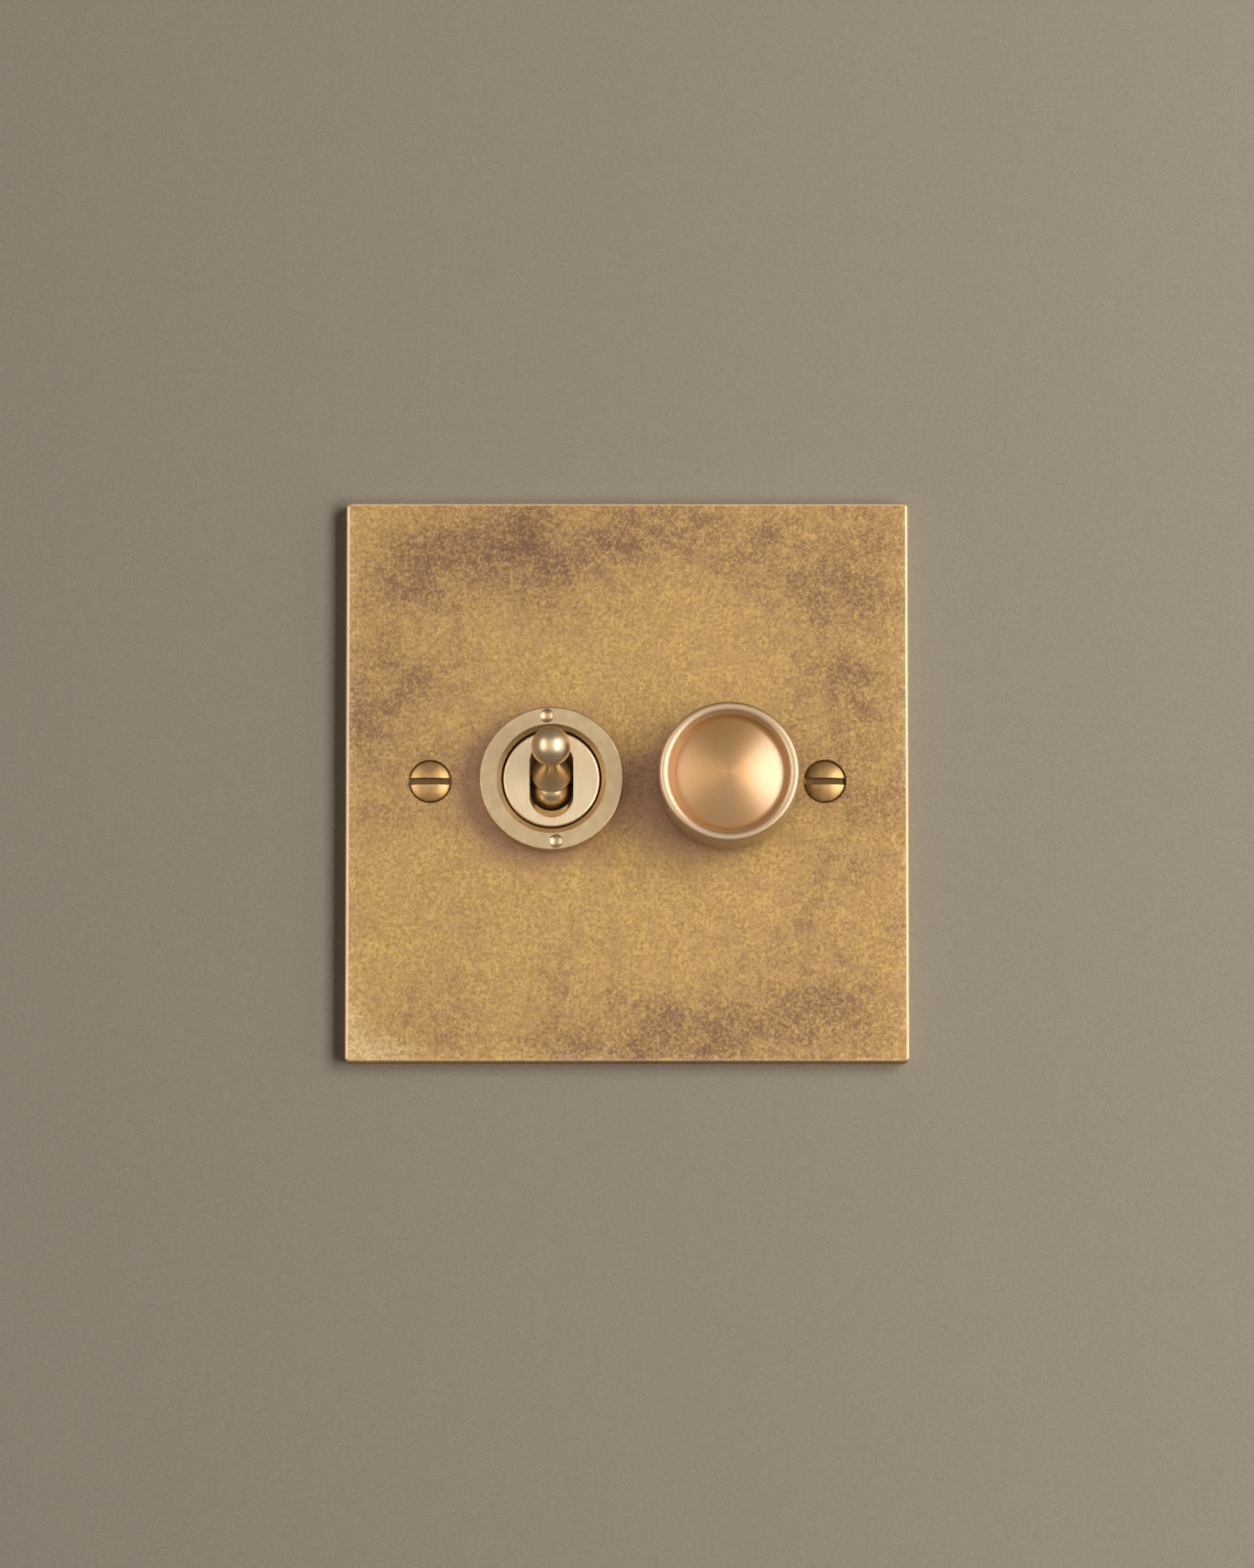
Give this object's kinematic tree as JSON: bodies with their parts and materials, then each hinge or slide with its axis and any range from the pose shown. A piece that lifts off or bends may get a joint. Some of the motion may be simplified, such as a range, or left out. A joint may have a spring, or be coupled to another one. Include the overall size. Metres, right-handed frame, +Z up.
{
  "type": "toggle switch and dimmer wall plate",
  "caption": "Square aged brass wall plate with a dolly toggle switch in a slotted bush and ring nut, beside a turned push-and-rotate dimmer knob, held by slotted screws.",
  "frame": {"origin": "centre of the plate's outline in the wall plane, on the back rim of the plate", "axes": "X to the right seen from the front, +Y into the wall, +Z up; the front faces -Y"},
  "size_m": [0.086, 0.0503, 0.086],
  "materials": {
    "aged_brass": "brushed, mottled brown patina",
    "screw_brass": "aged, lightly scuffed",
    "satin_brass": "satin",
    "polished_brass": "polished, turned",
    "turned_brass": "lathe-turned satin",
    "bright_brass": "as stamped",
    "contact_silver": "satin",
    "plated_steel": "zinc plated",
    "blackened_steel": "blackened",
    "heat_sink_aluminium": "mill finish",
    "black_moulding": "fine moulded texture",
    "white_moulding": "moulded",
    "component_moulding": "moulded",
    "circuit_board": "solder mask",
    "ferrite": "sintered"
  },
  "bodies": {
    "plate": {"front_plate": "aged_brass", "plate_screws": "screw_brass", "earth_terminal": "bright_brass", "earth_screw": "plated_steel", "ring_nut": "satin_brass", "toggle_bush": "satin_brass", "dolly_pin": "blackened_steel", "common_bracket": "bright_brass", "upper_contact": "bright_brass", "lower_contact": "bright_brass", "fixed_contacts": "contact_silver", "switch_body": "black_moulding", "switch_base": "black_moulding", "base_screws": "plated_steel", "switch_terminal_cages": "bright_brass", "switch_terminal_screws": "plated_steel", "push_spring": "plated_steel", "dimmer_bush": "plated_steel", "dimmer_washer": "plated_steel", "dimmer_nut": "plated_steel", "heat_sink": "heat_sink_aluminium", "dimmer_case": "black_moulding", "dimmer_rear_cover": "black_moulding", "case_screws": "plated_steel", "potentiometer": "component_moulding", "push_switch": "component_moulding", "circuit_board": "circuit_board", "dimmer_tongues": "bright_brass", "choke": "ferrite", "capacitor": "component_moulding", "power_transistor": "component_moulding", "transistor_screw": "plated_steel", "dimmer_terminal_cages": "bright_brass", "dimmer_terminal_screws": "plated_steel"},
    "dolly_lever": {"dolly": "polished_brass", "dolly_spring": "plated_steel"},
    "plunger_body": {"plunger": "plated_steel"},
    "rocker_arm": {"rocker": "bright_brass", "rocker_contacts": "contact_silver"},
    "push_carriage": {"push_slider": "white_moulding"},
    "knob": {"dimmer_knob": "turned_brass", "knob_insert": "black_moulding", "spindle": "plated_steel"}
  },
  "joints": [
    {"name": "dolly_throw", "type": "hinge", "parent": "plate", "child": "dolly_lever", "pos_m": [-0.01156, -0.004, 0], "axis": [1, 0, 0], "range_deg": [0, 40]},
    {"name": "plunger_press", "type": "slide", "parent": "dolly_lever", "child": "plunger_body", "axis": [0, -0.9397, 0.342], "range_m": [0, 0.0008], "stiffness_N_per_m": 600, "springref_m": -0.002, "deforming": ["dolly_spring"]},
    {"name": "rocker_tilt", "type": "hinge", "parent": "plate", "child": "rocker_arm", "pos_m": [-0.01156, 0.01151, 0], "axis": [1, 0, 0], "range_deg": [-12, 0]},
    {"name": "knob_push", "type": "slide", "parent": "plate", "child": "push_carriage", "axis": [0, 1, 0], "range_m": [0, 0.0012], "stiffness_N_per_m": 600, "springref_m": -0.002, "deforming": ["push_spring"]},
    {"name": "knob_turn", "type": "hinge", "parent": "push_carriage", "child": "knob", "pos_m": [0.01536, -0.003, 0], "axis": [0, 1, 0], "range_deg": [0, 270]}
  ],
  "couplings": [
    {"joint": "rocker_tilt", "follows": "dolly_throw", "ratio": -0.3}
  ]
}
